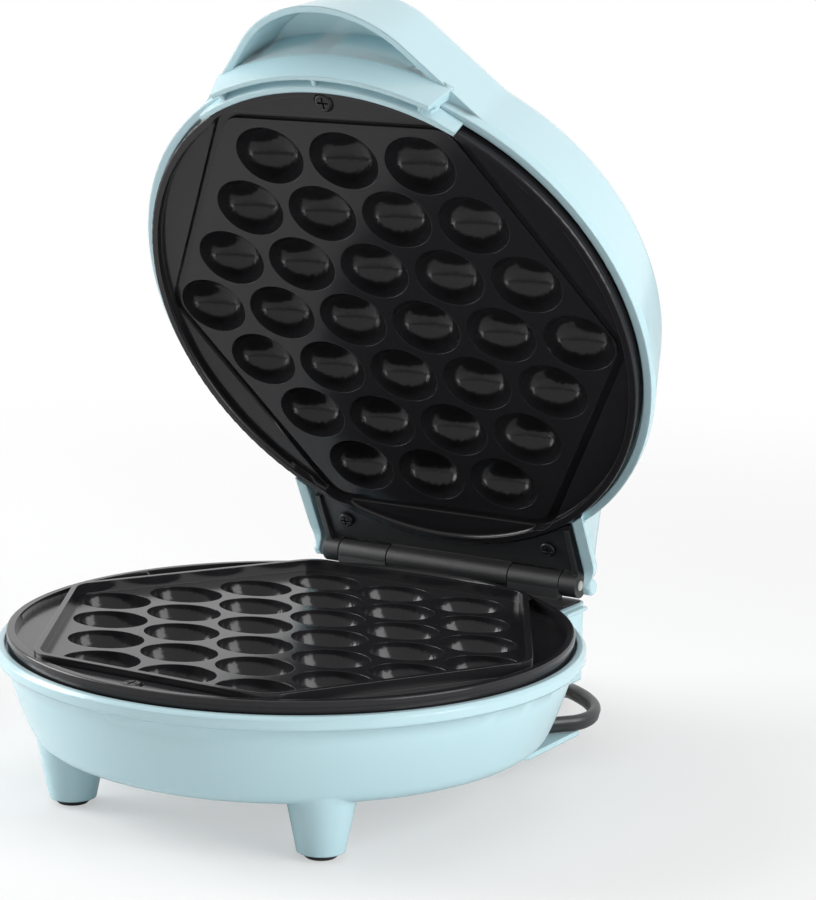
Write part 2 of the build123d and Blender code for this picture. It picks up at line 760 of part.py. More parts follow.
# ================================================================ lamps in the crown
with BuildPart() as lens:
    Cylinder(lens_radius, 4.2, align=(Align.CENTER, Align.CENTER, Align.MAX))
    with Locations((0, 0, -4.2)):
        Cylinder(lens_radius + 1.2, 1.2, align=(Align.CENTER, Align.CENTER, Align.MAX))
    with BuildSketch():
        Circle(lens_radius)
    extrude(amount=1.2)
    fillet(edges().group_by(Axis.Z)[-1], 1.0)
for lens_x, lens_name in zip(lens_spots, ("power_lens_red", "ready_lens_green")):
    with BuildPart() as placed_lens:
        with Locations((lens_x, lens_y, crown_z)):
            add(lens.part)
    write(placed_lens, lens_name, on_lid=True)
with BuildPart() as neon_lamps:
    with Locations(*[(x, lens_y, crown_z - 5.6) for x in lens_spots]):
        Cylinder(2.4, 9.4, align=(Align.CENTER, Align.CENTER, Align.MAX))
write(neon_lamps, "neon_lamps", on_lid=True)
with BuildPart() as lamp_holder:
    with Locations((0, lens_y, crown_z - 15)):
        Box(40, 12, 3, align=(Align.CENTER, Align.CENTER, Align.MAX))
    with Locations((-17, lens_y, crown_z - 15), (17, lens_y, crown_z - 15)):
        Box(4, 9, 15 - wall, align=(Align.CENTER, Align.CENTER, Align.MIN))
write(lamp_holder, "lamp_holder", on_lid=True)

# ================================================================ mains lead
relief_length = 22.0
relief_end_y = housing_back_y + relief_length

with BuildPart() as strain_relief:
    # collar inside and outside the housing, then a ribbed taper
    with BuildSketch(Plane.XY):
        with BuildLine():
            Polyline(
                (0, housing_back_y - wall - 2.0),
                (gland_radius + 1.6, housing_back_y - wall - 2.0),
                (gland_radius + 1.6, housing_back_y - wall),
                (gland_radius - 0.1, housing_back_y - wall),
                (gland_radius - 0.1, housing_back_y),
                (gland_radius + 1.6, housing_back_y),
                (gland_radius + 1.2, housing_back_y + 2.4),
                (gland_radius - 0.1, housing_back_y + 2.6),
                (cord_diameter / 2 + 0.9, relief_end_y),
                (0, relief_end_y),
                close=True,
            )
        make_face()
    revolve(axis=Axis.Y)
    for groove in range(4):
        ring_y = housing_back_y + 6 + 4 * groove
        with BuildSketch(Plane.XZ.offset(-ring_y)):
            Circle(8)
            Circle(cord_diameter / 2 + 0.6, mode=Mode.SUBTRACT)
            Rectangle(3, 20, mode=Mode.SUBTRACT)
        extrude(amount=-1.4, mode=Mode.SUBTRACT)
strain_relief.part = strain_relief.part.moved(Location((gland_x, 0, gland_z)))
write(strain_relief, "cord_strain_relief")

# route of the lead: down to the table behind the pan, up on to the cleat round its right end,
# once round the neck and a second time along its front, then under itself and back to the plug
lead_route = [
    (-35.0, 139.0, 36.0),
    (-35.0, 150.0, 35.5),
    (-32.5, 160.5, 32.3),
    (-27.0, 169.0, 26.8),
    (-18.5, 174.5, 20.0),
    (-8.5, 176.0, 13.3),
    (1.5, 173.5, 8.2),
    (11.5, 169.0, 5.5),
    (21.3, 162.2, 4.8),
    (30.0, 153.8, 6.2),
    (37.2, 144.2, 9.5),
    (43.8, 133.8, 12.9),
    (51.8, 124.0, 15.3),
    (61.2, 116.4, 15.7),
    (69.0, 107.6, 15.7),
    (73.6, 97.2, 15.7),
    (73.2, 86.8, 15.7),
    (67.2, 79.8, 15.7),
    (62.0, 71.6, 15.7),
    (58.8, 61.2, 15.7),
    (52.0, 52.8, 15.7),
    (41.5, 49.6, 15.7),
    (22.0, 49.2, 15.7),
    (0.0, 49.6, 15.7),
    (-22.0, 49.2, 15.7),
    (-41.5, 49.6, 15.7),
    (-52.0, 52.8, 15.7),
    (-59.4, 60.4, 15.7),
    (-63.4, 70.0, 15.7),
    (-65.6, 80.2, 16.3),
    (-66.4, 90.8, 17.6),
    (-64.4, 101.2, 20.0),
    (-57.4, 108.8, 21.3),
    (-47.2, 112.0, 21.5),
    (-36.6, 110.8, 21.3),
    (-26.2, 106.2, 20.4),
    (-15.8, 99.4, 18.8),
    (-5.6, 92.0, 16.8),
    (5.4, 86.2, 15.7),
    (19.0, 83.0, 15.7),
    (38.0, 82.2, 15.7),
    (47.8, 79.9, 15.7),
    (52.9, 73.3, 15.7),
    (52.9, 64.7, 15.7),
    (47.8, 58.1, 15.7),
    (39.0, 55.8, 15.7),
    (22.0, 55.7, 15.7),
    (0.0, 56.1, 15.7),
    (-22.0, 55.7, 15.7),
    (-39.0, 55.8, 15.7),
    (-47.8, 58.1, 15.7),
    (-53.0, 64.6, 15.7),
    (-55.2, 74.0, 15.7),
    (-57.2, 83.8, 15.9),
    (-59.2, 93.4, 16.1),
    (-61.4, 102.6, 12.3),
    (-63.2, 111.8, 8.2),
    (-62.6, 121.6, 5.5),
    (-58.6, 130.6, 4.7),
    (-52.0, 137.6, 4.7),
    (-43.6, 142.0, 5.7),
    (-34.2, 143.4, 8.0),
    (-24.6, 143.4, 9.2),
]


def corner_radii(route):
    """Arc of each corner: as large as the shorter of its two runs allows."""
    points = [Vector(*point) for point in route]
    radii = []
    for before, corner, after in zip(points, points[1:], points[2:]):
        turn = math.radians((corner - before).get_angle(after - corner))
        shorter = min((corner - before).length, (after - corner).length)
        radii.append(0.45 * shorter / math.tan(turn / 2))
    return radii


def lead(route, diameter):
    """Round lead along a route of straight runs joined by tangent arcs."""
    with BuildPart() as form:
        with BuildLine() as path:
            FilletPolyline(*route, radius=corner_radii(route))
        start = path.wires()[0]
        with BuildSketch(Plane(origin=start @ 0, z_dir=start % 0)):
            Circle(diameter / 2)
        sweep(path=path.wires()[0])
    length = path.wires()[0].length
    share = form.part.volume / (math.pi * diameter**2 / 4 * length)
    print(f"lead {length:.0f} mm, volume share {share:.3f}, radii", [round(r) for r in corner_radii(route)])
    return form.part


with BuildPart() as power_cord:
    add(lead(lead_route, cord_diameter))
write(power_cord, "power_cord")

# plug with two flat blades, lying on the table
plug_x, plug_y, plug_z = -24.6, 143.4, 9.2
with BuildPart() as mains_plug:
    with BuildSketch(Plane.YZ.offset(plug_x)):
        with Locations((plug_y, plug_z)):
            Circle(cord_diameter / 2 + 0.8)
    with BuildSketch(Plane.YZ.offset(plug_x + 13)):
        with Locations((plug_y, plug_z)):
            Circle(5.2)
    loft()
    with BuildSketch(Plane.YZ.offset(plug_x + 12)):
        with Locations((plug_y, plug_z)):
            RectangleRounded(17, 12, 4)
    with BuildSketch(Plane.YZ.offset(plug_x + 22)):
        with Locations((plug_y, plug_z)):
            RectangleRounded(24, 16, 5)
    loft()
    with BuildSketch(Plane.YZ.offset(plug_x + 22)):
        with Locations((plug_y, plug_z)):
            RectangleRounded(24, 16, 5)
    extrude(amount=12)
    fillet(edges().group_by(Axis.X)[-1], 1.2)
write(mains_plug, "mains_plug")
with BuildPart() as plug_blades:
    with BuildSketch(Plane.YZ.offset(plug_x + 34)):
        with Locations((plug_y - 6.35, plug_z), (plug_y + 6.35, plug_z)):
            Rectangle(1.5, 6.3)
    extrude(amount=16)
write(plug_blades, "plug_blades")

# ================================================================ wires inside the shells
wire_diameter = 2.2
block_wire_z = inner_floor_z + 4
with BuildPart() as base_wires:
    for side in (-1, 1):
        add(lead([
            (side * 11, 45.0, block_wire_z),
            (side * 9, 32, block_wire_z + 0.6),
            (side * 5.6, 19, block_wire_z + 2.2),
            (side * 4.5, 3.2, block_wire_z + 5.2),
        ], wire_diameter))
    add(lead([
        (-11, 63.0, block_wire_z),
        (-12, 74, block_wire_z + 1),
        (-12.5, 83, block_wire_z + 2.6),
        (-12.8, 91, block_wire_z + 6.0),
        (-14.5, 99, gland_z + 0.2),
        (-20.5, 105.6, gland_z + 0.4),
        (-28, 109.8, gland_z + 0.2),
    ], wire_diameter))
    add(lead([
        (11, 63.0, block_wire_z),
        (10, 74, block_wire_z + 1),
        (7.0, 83, block_wire_z + 2.8),
        (3.0, 92.5, block_wire_z + 5.2),
        (-4.5, 98.5, gland_z + 2.8),
        (-14.5, 103.8, gland_z + 4.2),
        (-25.5, 108.6, gland_z + 3.8),
    ], wire_diameter))
write(base_wires, "base_wires")
with BuildPart() as lid_wires:
    for side in (-1, 1):
        add(lead([
            (side * 12, lens_y + 6.0, crown_z - 16.5),
            (side * 11, lens_y + 24, crown_z - 18.5),
            (side * 8, lens_y + 42, crown_z - 18.0),
            (side * 4.5, lens_y + 58.8, crown_z - 21.0),
        ], wire_diameter))
write(lid_wires, "lid_wires", on_lid=True)
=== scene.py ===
"""Looks of the egg waffle pan: its finishes, its mains lead and the studio that it stands in.

The frame is in metres: +Z up, the hinge at +Y and the handle at -Y.  Each operator dresses one
piece or one group of like pieces, and main() runs them in order.
"""

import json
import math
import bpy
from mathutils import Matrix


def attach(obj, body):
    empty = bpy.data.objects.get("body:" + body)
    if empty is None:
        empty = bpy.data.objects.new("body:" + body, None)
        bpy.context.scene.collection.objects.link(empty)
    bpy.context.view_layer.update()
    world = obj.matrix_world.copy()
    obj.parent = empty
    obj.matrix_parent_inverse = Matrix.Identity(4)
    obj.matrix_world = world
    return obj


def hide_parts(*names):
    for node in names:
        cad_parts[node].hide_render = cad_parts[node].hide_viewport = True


bl_info = {
    "name": "Egg Waffle Pan",
    "version": (1, 0, 0),
    "blender": (4, 5, 0),
    "location": "View3D > Sidebar > Waffle Pan",
    "description": "Dresses the egg waffle pan's frame with its finishes, mains lead and studio",
    "category": "Object",
}

import bmesh
import bpy
from mathutils import Matrix, Vector

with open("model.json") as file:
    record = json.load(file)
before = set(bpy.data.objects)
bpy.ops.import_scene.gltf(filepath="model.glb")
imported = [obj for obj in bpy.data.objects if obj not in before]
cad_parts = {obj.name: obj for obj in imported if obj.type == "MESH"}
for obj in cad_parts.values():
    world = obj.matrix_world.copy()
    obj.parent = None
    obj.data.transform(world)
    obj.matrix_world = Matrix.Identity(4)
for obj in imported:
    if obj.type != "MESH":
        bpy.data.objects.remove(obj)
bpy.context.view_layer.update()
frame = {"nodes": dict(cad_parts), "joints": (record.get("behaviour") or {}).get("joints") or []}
nodes = frame["nodes"]
lid_hinge = frame["joints"][0]

HINGE_AXIS = Vector(lid_hinge["pos_m"])
OPENING = math.radians(lid_hinge["range_deg"][1])   # turn of the lid from its open rest to shut
FRAME_ORIGIN = Vector((0, 0.0192, 0.0012))          # seen from the foot of the plates' axis
MERGE_WITHIN = 0.000002                             # distance at which doubled corners are joined
FLAT_WITHIN = math.radians(0.2)                     # turn below which two faces count as one
LIGHTS_AIM = (0, 0, 0.1)                            # place that every light faces

# points of the lead, the same as in the CAD source: from the strain relief down to the table, one
# and three quarter times round the cleat, and back to the plug
LEAD_ROUTE = (
    (-0.0350, 0.1198, 0.0348),
    (-0.0350, 0.1308, 0.0343),
    (-0.0325, 0.1413, 0.0311),
    (-0.0270, 0.1498, 0.0256),
    (-0.0185, 0.1553, 0.0188),
    (-0.0085, 0.1568, 0.0121),
    (0.0015, 0.1543, 0.0070),
    (0.0115, 0.1498, 0.0043),
    (0.0213, 0.1430, 0.0036),
    (0.0300, 0.1346, 0.0050),
    (0.0372, 0.1250, 0.0083),
    (0.0438, 0.1146, 0.0117),
    (0.0518, 0.1048, 0.0141),
    (0.0612, 0.0972, 0.0145),
    (0.0690, 0.0884, 0.0145),
    (0.0736, 0.0780, 0.0145),
    (0.0732, 0.0676, 0.0145),
    (0.0672, 0.0606, 0.0145),
    (0.0620, 0.0524, 0.0145),
    (0.0588, 0.0420, 0.0145),
    (0.0520, 0.0336, 0.0145),
    (0.0415, 0.0304, 0.0145),
    (0.0220, 0.0300, 0.0145),
    (0.0000, 0.0304, 0.0145),
    (-0.0220, 0.0300, 0.0145),
    (-0.0415, 0.0304, 0.0145),
    (-0.0520, 0.0336, 0.0145),
    (-0.0594, 0.0412, 0.0145),
    (-0.0634, 0.0508, 0.0145),
    (-0.0656, 0.0610, 0.0151),
    (-0.0664, 0.0716, 0.0164),
    (-0.0644, 0.0820, 0.0188),
    (-0.0574, 0.0896, 0.0201),
    (-0.0472, 0.0928, 0.0203),
    (-0.0366, 0.0916, 0.0201),
    (-0.0262, 0.0870, 0.0192),
    (-0.0158, 0.0802, 0.0176),
    (-0.0056, 0.0728, 0.0156),
    (0.0054, 0.0670, 0.0145),
    (0.0190, 0.0638, 0.0145),
    (0.0380, 0.0630, 0.0145),
    (0.0478, 0.0607, 0.0145),
    (0.0529, 0.0541, 0.0145),
    (0.0529, 0.0455, 0.0145),
    (0.0478, 0.0389, 0.0145),
    (0.0390, 0.0366, 0.0145),
    (0.0220, 0.0365, 0.0145),
    (0.0000, 0.0369, 0.0145),
    (-0.0220, 0.0365, 0.0145),
    (-0.0390, 0.0366, 0.0145),
    (-0.0478, 0.0389, 0.0145),
    (-0.0530, 0.0454, 0.0145),
    (-0.0552, 0.0548, 0.0145),
    (-0.0572, 0.0646, 0.0147),
    (-0.0592, 0.0742, 0.0149),
    (-0.0614, 0.0834, 0.0111),
    (-0.0632, 0.0926, 0.0070),
    (-0.0626, 0.1024, 0.0043),
    (-0.0586, 0.1114, 0.0035),
    (-0.0520, 0.1184, 0.0035),
    (-0.0436, 0.1228, 0.0045),
    (-0.0342, 0.1242, 0.0068),
    (-0.0246, 0.1242, 0.0080),
)


# ---------------------------------------------------------------- settings a user would change
def colour_setting(name, description, default):
    return bpy.props.FloatVectorProperty(
        name=name, description=description, default=default, size=3, min=0, max=1, subtype="COLOR"
    )


def factor_setting(name, description, default):
    return bpy.props.FloatProperty(
        name=name, description=description, default=default, min=0, max=1, subtype="FACTOR"
    )


def length_setting(name, description, default):
    return bpy.props.FloatProperty(
        name=name, description=description, default=default, precision=5, unit="LENGTH"
    )


def angle_setting(name, description, degrees):
    return bpy.props.FloatProperty(
        name=name, description=description, default=math.radians(degrees), subtype="ANGLE"
    )


def power_setting(name, description, watts):
    return bpy.props.FloatProperty(name=name, description=description, default=watts)


class ShellSettings(bpy.types.PropertyGroup):
    plastic: colour_setting("Plastic", "Colour of the moulded shells", (0.465, 0.655, 0.705))
    roughness: factor_setting("Roughness", "Roughness of the plastic", 0.2)
    grain: length_setting("Grain depth", "Depth of the mould's fine grain", 0.00002)
    guard_turn_low: angle_setting(
        "Guard end low", "Turn at which the guard's outer wall ends at its free edge", 23.6
    )
    guard_turn_high: angle_setting("Guard end high", "Turn at which it ends above its root", 27.6)


class PlateSettings(bpy.types.PropertyGroup):
    coating: colour_setting("Coating", "Colour of the non-stick coating", (0.016, 0.0152, 0.017))
    roughness: factor_setting("Roughness", "Roughness of the coating", 0.15)
    grain: length_setting("Grain depth", "Depth of the coating's peel", 0.000012)


class HingeSettings(bpy.types.PropertyGroup):
    paint: colour_setting("Paint", "Colour of the powder coat on both brackets", (0.02, 0.02, 0.021))
    roughness: factor_setting("Roughness", "Roughness of the powder coat", 0.42)
    grain: length_setting("Grain depth", "Depth of the powder coat's texture", 0.00012)
    smooth_from: length_setting("Smooth from", "The outer knuckles are smooth from here outwards", 0.0503)


class ScrewSettings(bpy.types.PropertyGroup):
    black_oxide: colour_setting("Black oxide", "Colour of the black screws", (0.02, 0.02, 0.021))
    zinc: colour_setting("Zinc", "Colour of the plated screws and hinge pins", (0.62, 0.62, 0.60))


class FootSettings(bpy.types.PropertyGroup):
    rubber: colour_setting("Rubber", "Colour of the foot pads", (0.012, 0.012, 0.012))
    roughness: factor_setting("Roughness", "Roughness of the rubber", 0.7)


class LeadSettings(bpy.types.PropertyGroup):
    sheath: colour_setting("Sheath", "Colour of the lead's sheath", (0.02, 0.021, 0.022))
    roughness: factor_setting("Roughness", "Roughness of the sheath", 0.38)
    width: length_setting("Width", "Width of the flat twin flex", 0.0063)
    thickness: length_setting("Thickness", "Thickness of the flat twin flex", 0.0044)
    lean: angle_setting("Lean", "How far the flex leans from standing on edge", 14)
    length: length_setting("Length", "Length of the lead from strain relief to plug", 0.744)


class PlugSettings(bpy.types.PropertyGroup):
    body: colour_setting("Body", "Colour of the plug's body", (0.02, 0.02, 0.021))
    blades: colour_setting("Blades", "Colour of the plug's blades", (0.83, 0.66, 0.34))


class LampSettings(bpy.types.PropertyGroup):
    red: colour_setting("Power lamp", "Colour of the power lamp's lens", (0.62, 0.02, 0.015))
    green: colour_setting("Ready lamp", "Colour of the ready lamp's lens", (0.03, 0.48, 0.09))
    glass: colour_setting("Lamp glass", "Colour of the neon lamps", (0.95, 0.72, 0.52))


class HeatSettings(bpy.types.PropertyGroup):
    element: colour_setting("Element", "Colour of the heating tubes", (0.30, 0.28, 0.26))
    shield: colour_setting("Shield", "Colour of the heat shields", (0.78, 0.78, 0.79))
    insulator: colour_setting(
        "Insulator", "Colour of the fuse sleeve, terminals and lamp holder", (0.78, 0.77, 0.73)
    )
    sleeve: colour_setting("Wire sleeve", "Colour of the wires' glass sleeves", (0.72, 0.70, 0.64))


class StageSettings(bpy.types.PropertyGroup):
    azimuth: angle_setting("Azimuth", "Turn of the camera round the pan, from its front", 30.93)
    elevation: angle_setting("Elevation", "Slope of the camera's line down to the pan", 10.65)
    roll: angle_setting("Roll", "Turn of the camera round its own line", 1.08)
    focal_length: bpy.props.FloatProperty(
        name="Focal length", description="Lens on a 36 mm sensor, in millimetres", default=110.6
    )
    distance: length_setting("Distance", "From the lens to the plane that it is aimed at", 1.01141)
    aim_right: length_setting("Aim right", "How far right of the foot the camera looks", 0.04259)
    aim_up: length_setting("Aim up", "How far above the foot the camera looks", 0.12305)
    foot_depth: length_setting("Foot depth", "Front to back place that the aim starts from", -0.0184)
    foot_height: length_setting("Foot height", "Height that the aim starts from", -0.0012)
    floor: factor_setting("Floor", "Grey level of the floor", 0.8)
    surroundings: factor_setting("Surroundings", "Light of the surroundings behind the pan", 0.6)
    surroundings_front: factor_setting(
        "Front surroundings", "Light of the surroundings before the pan", 0.16
    )
    left_light: power_setting("Left light", "Power of the left window, in watts", 21.0)
    right_light: power_setting("Right light", "Power of the right window, in watts", 14.5)
    top_light: power_setting("Top light", "Power of the top light, in watts", 5.0)


# ---------------------------------------------------------------- shared surface effects
def new_group(name, inputs, outputs):
    """Empty shader group with named sockets: (name, type, default) each."""
    group = bpy.data.node_groups.new(name, "ShaderNodeTree")
    for label, kind, default in inputs:
        socket = group.interface.new_socket(name=label, in_out="INPUT", socket_type=kind)
        socket.default_value = default
    for label, kind in outputs:
        group.interface.new_socket(name=label, in_out="OUTPUT", socket_type=kind)
    return group, group.nodes.new("NodeGroupInput"), group.nodes.new("NodeGroupOutput")


def colour_drift_group():
    """Slow, slight change of a colour over the surface, as between melt and mould."""
    group, given, result = new_group(
        "colour drift",
        (
            ("Colour", "NodeSocketColor", (0.5, 0.5, 0.5, 1)),
            ("Amount", "NodeSocketFloat", 0.05),
            ("Scale", "NodeSocketFloat", 20.0),
        ),
        (("Colour", "NodeSocketColor"),),
    )
    add, link = group.nodes.new, group.links.new
    place = add("ShaderNodeTexCoord")
    noise = add("ShaderNodeTexNoise")
    level = add("ShaderNodeMath")
    paint = add("ShaderNodeHueSaturation")
    noise.inputs["Detail"].default_value = 3
    level.operation = "MULTIPLY_ADD"
    link(place.outputs["Object"], noise.inputs["Vector"])
    link(given.outputs["Scale"], noise.inputs["Scale"])
    centred = add("ShaderNodeMath")
    centred.operation = "SUBTRACT"
    centred.inputs[1].default_value = 0.5
    link(noise.outputs["Fac"], centred.inputs[0])
    link(centred.outputs[0], level.inputs[0])
    link(given.outputs["Amount"], level.inputs[1])
    level.inputs[2].default_value = 1.0
    link(level.outputs[0], paint.inputs["Value"])
    link(given.outputs["Colour"], paint.inputs["Color"])
    link(paint.outputs["Color"], result.inputs["Colour"])
    return group


def fine_grain_group():
    """Fine relief of a surface, with a roughness that changes along with it."""
    group, given, result = new_group(
        "fine grain",
        (
            ("Scale", "NodeSocketFloat", 1500.0),
            ("Depth", "NodeSocketFloat", 0.00002),
            ("Roughness", "NodeSocketFloat", 0.3),
            ("Spread", "NodeSocketFloat", 0.05),
            ("Edge", "NodeSocketFloat", 0.0003),
        ),
        (("Roughness", "NodeSocketFloat"), ("Normal", "NodeSocketVector")),
    )
    add, link = group.nodes.new, group.links.new
    place = add("ShaderNodeTexCoord")
    noise = add("ShaderNodeTexNoise")
    blotch = add("ShaderNodeTexNoise")
    bump = add("ShaderNodeBump")
    noise.inputs["Detail"].default_value = 2
    blotch.inputs["Scale"].default_value = 45
    blotch.inputs["Detail"].default_value = 4
    link(place.outputs["Object"], noise.inputs["Vector"])
    link(place.outputs["Object"], blotch.inputs["Vector"])
    link(given.outputs["Scale"], noise.inputs["Scale"])
    link(noise.outputs["Fac"], bump.inputs["Height"])
    link(given.outputs["Depth"], bump.inputs["Distance"])
    rounded = add("ShaderNodeBevel")
    rounded.samples = 6
    link(given.outputs["Edge"], rounded.inputs["Radius"])
    link(rounded.outputs["Normal"], bump.inputs["Normal"])
    link(bump.outputs["Normal"], result.inputs["Normal"])
    centred = add("ShaderNodeMath")
    change = add("ShaderNodeMath")
    centred.operation = "SUBTRACT"
    centred.inputs[1].default_value = 0.5
    change.operation = "MULTIPLY_ADD"
    link(blotch.outputs["Fac"], centred.inputs[0])
    link(centred.outputs[0], change.inputs[0])
    link(given.outputs["Spread"], change.inputs[1])
    link(given.outputs["Roughness"], change.inputs[2])
    link(change.outputs[0], result.inputs["Roughness"])
    return group


def lighter_edges_group():
    """Mask of the edges, broken up by a noise, where a lighter colour is laid on the finish."""
    group, given, result = new_group(
        "lighter edges",
        (("Width", "NodeSocketFloat", 0.0006), ("Amount", "NodeSocketFloat", 0.5)),
        (("Mask", "NodeSocketFloat"),),
    )
    add, link = group.nodes.new, group.links.new
    place = add("ShaderNodeTexCoord")
    noise = add("ShaderNodeTexNoise")
    rounded = add("ShaderNodeBevel")
    flat = add("ShaderNodeNewGeometry")
    same = add("ShaderNodeVectorMath")
    edge = add("ShaderNodeMapRange")
    broken = add("ShaderNodeMath")
    noise.inputs["Scale"].default_value = 700
    rounded.samples = 4
    same.operation = "DOT_PRODUCT"
    edge.inputs["From Min"].default_value = 0.995
    edge.inputs["From Max"].default_value = 0.86
    broken.operation = "MULTIPLY"
    link(place.outputs["Object"], noise.inputs["Vector"])
    link(given.outputs["Width"], rounded.inputs["Radius"])
    link(rounded.outputs["Normal"], same.inputs[0])
    link(flat.outputs["Normal"], same.inputs[1])
    link(same.outputs["Value"], edge.inputs["Value"])
    link(given.outputs["Amount"], edge.inputs["To Max"])
    link(edge.outputs["Result"], broken.inputs[0])
    link(noise.outputs["Fac"], broken.inputs[1])
    link(broken.outputs[0], result.inputs["Mask"])
    return group


def shared_group(name, build):
    """The group of that name, built on its first use."""
    return bpy.data.node_groups.get(name) or build()


def place_group(tree, name, build, **values):
    """One shared group in a material, with its own values."""
    node = tree.nodes.new("ShaderNodeGroup")
    node.node_tree = shared_group(name, build)
    for label, value in values.items():
        node.inputs[label].default_value = value
    return node


# ---------------------------------------------------------------- materials
def finish(
    name, colour, roughness, scale, depth,
    drift=0.05, drift_scale=25.0, spread=0.06, edge=0.0003, **sockets,
):
    """Material of one finish: drifting colour, fine grain, and its plain values on the shader."""
    material = bpy.data.materials.new(name)
    material.use_nodes = True
    tree = material.node_tree
    shader = tree.nodes["Principled BSDF"]
    for socket, value in sockets.items():
        shader.inputs[socket.replace("_", " ")].default_value = value
    tint = place_group(
        tree, "colour drift", colour_drift_group, Colour=(*colour, 1), Amount=drift, Scale=drift_scale
    )
    grain = place_group(
        tree, "fine grain", fine_grain_group,
        Scale=scale, Depth=depth, Roughness=roughness, Spread=spread, Edge=edge,
    )
    tree.links.new(tint.outputs["Colour"], shader.inputs["Base Color"])
    tree.links.new(grain.outputs["Roughness"], shader.inputs["Roughness"])
    tree.links.new(grain.outputs["Normal"], shader.inputs["Normal"])
    return material


def lighten_edges(material, edge_colour, width, amount):
    """Lay a lighter colour along the edges of a finish, where the edge mask is."""
    tree = material.node_tree
    shader = tree.nodes["Principled BSDF"]
    # lighter colour along the edges, from the bevel-against-face mask
    edge_mask = place_group(tree, "lighter edges", lighter_edges_group, Width=width, Amount=amount)
    blend = tree.nodes.new("ShaderNodeMix")
    blend.data_type = "RGBA"
    blend.inputs["B"].default_value = (*edge_colour, 1)
    tree.links.new(edge_mask.outputs["Mask"], blend.inputs["Factor"])
    tree.links.new(shader.inputs["Base Color"].links[0].from_socket, blend.inputs["A"])
    tree.links.new(blend.outputs["Result"], shader.inputs["Base Color"])


def dress(material, *names):
    """Give CAD nodes one material."""
    for name in names:
        slots = nodes[name].data.materials
        slots.clear()
        slots.append(material)


# ---------------------------------------------------------------- pieces from the frame
def select_only(piece):
    """Make one piece the only one selected, and the active one."""
    bpy.ops.object.select_all(action="DESELECT")
    piece.select_set(True)
    bpy.context.view_layer.objects.active = piece


def wedge(name, layers):
    """Cutter between two layers of four corners, measured from the plates' foot with the lid shut."""
    ring = []
    for layer in layers:
        middle = sum((Vector(corner) for corner in layer), Vector()) / 4
        ring += sorted(
            layer, key=lambda corner: math.atan2(corner[1] - middle.y, corner[0] - middle.x)
        )
    bpy.ops.object.select_all(action="DESELECT")
    bpy.ops.mesh.primitive_cube_add(size=1)
    cutter = bpy.context.object
    cutter.name = name
    vertices = sorted(
        cutter.data.vertices,
        key=lambda vertex: (vertex.co.z > 0, math.atan2(vertex.co.y, vertex.co.x)),
    )
    for vertex, corner in zip(vertices, ring):
        place = Vector(corner) - FRAME_ORIGIN
        vertex.co = HINGE_AXIS + Matrix.Rotation(-OPENING, 3, "X") @ (place - HINGE_AXIS)
    return cutter


def cut_away(piece, cutter):
    """Take a cutter's space out of a piece."""
    select_only(cutter)
    bpy.ops.object.mode_set(mode="EDIT")
    bpy.ops.mesh.select_all(action="SELECT")
    bpy.ops.mesh.normals_make_consistent(inside=False)
    bpy.ops.object.mode_set(mode="OBJECT")
    select_only(piece)
    bpy.ops.object.modifier_add(type="BOOLEAN")
    piece.modifiers[-1].operation = "DIFFERENCE"
    piece.modifiers[-1].object = cutter
    bpy.ops.object.modifier_apply(modifier=piece.modifiers[-1].name)
    bpy.data.objects.remove(cutter)


def trim_guard_ends(guard, look):
    """Shorten the outer wall of the finger guard at both ends, so that it meets the handle."""
    inside, outside = 0.1055, 0.13      # radii between which the outer wall lies
    below, above = 0.050, 0.080         # heights between which it is cut
    width = 0.25                        # turn that the cut spans, in radians, from there outwards
    for side in (1, -1):
        layers = []
        for height, start in ((below, look.guard_turn_low), (above, look.guard_turn_high)):
            end = start + width
            layers.append([
                (side * radius * math.sin(turn), -radius * math.cos(turn), height)
                for radius, turn in ((inside, start), (outside, start), (outside, end), (inside, end))
            ])
        cut_away(guard, wedge("guard_cutter", layers))


def merged_copy(name):
    """Merged copy of a CAD node, with its flat faces whole again."""
    piece = nodes[name].copy()
    piece.data = nodes[name].data.copy()
    piece.name = name + "_moulding"
    bpy.context.scene.collection.objects.link(piece)
    piece.hide_render = False
    select_only(piece)
    bpy.ops.object.mode_set(mode="EDIT")
    bpy.ops.mesh.select_all(action="SELECT")
    bpy.ops.mesh.remove_doubles(threshold=MERGE_WITHIN)
    bpy.ops.mesh.dissolve_limited(angle_limit=FLAT_WITHIN)
    bpy.ops.object.mode_set(mode="OBJECT")
    return piece


def smooth_finish(piece, angle):
    """Even normals for a merged copy: smooth where faces turn less than an angle, in degrees."""
    select_only(piece)
    bpy.ops.object.mode_set(mode="EDIT")
    bpy.ops.mesh.select_all(action="SELECT")
    bpy.ops.mesh.tris_convert_to_quads(face_threshold=math.radians(12), shape_threshold=math.radians(60))
    bpy.ops.object.mode_set(mode="OBJECT")
    bpy.ops.object.shade_smooth_by_angle(angle=math.radians(angle))
    bpy.ops.object.modifier_add(type="WEIGHTED_NORMAL")
    piece.modifiers[-1].keep_sharp = True
    bpy.ops.object.modifier_apply(modifier=piece.modifiers[-1].name)


def moulding(piece, name, material, body, angle=28.0):
    """Finish a merged copy of a CAD node and let it stand for that node."""
    smooth_finish(piece, angle)
    piece.data.materials.clear()
    piece.data.materials.append(material)
    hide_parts(name)
    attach(piece, body)


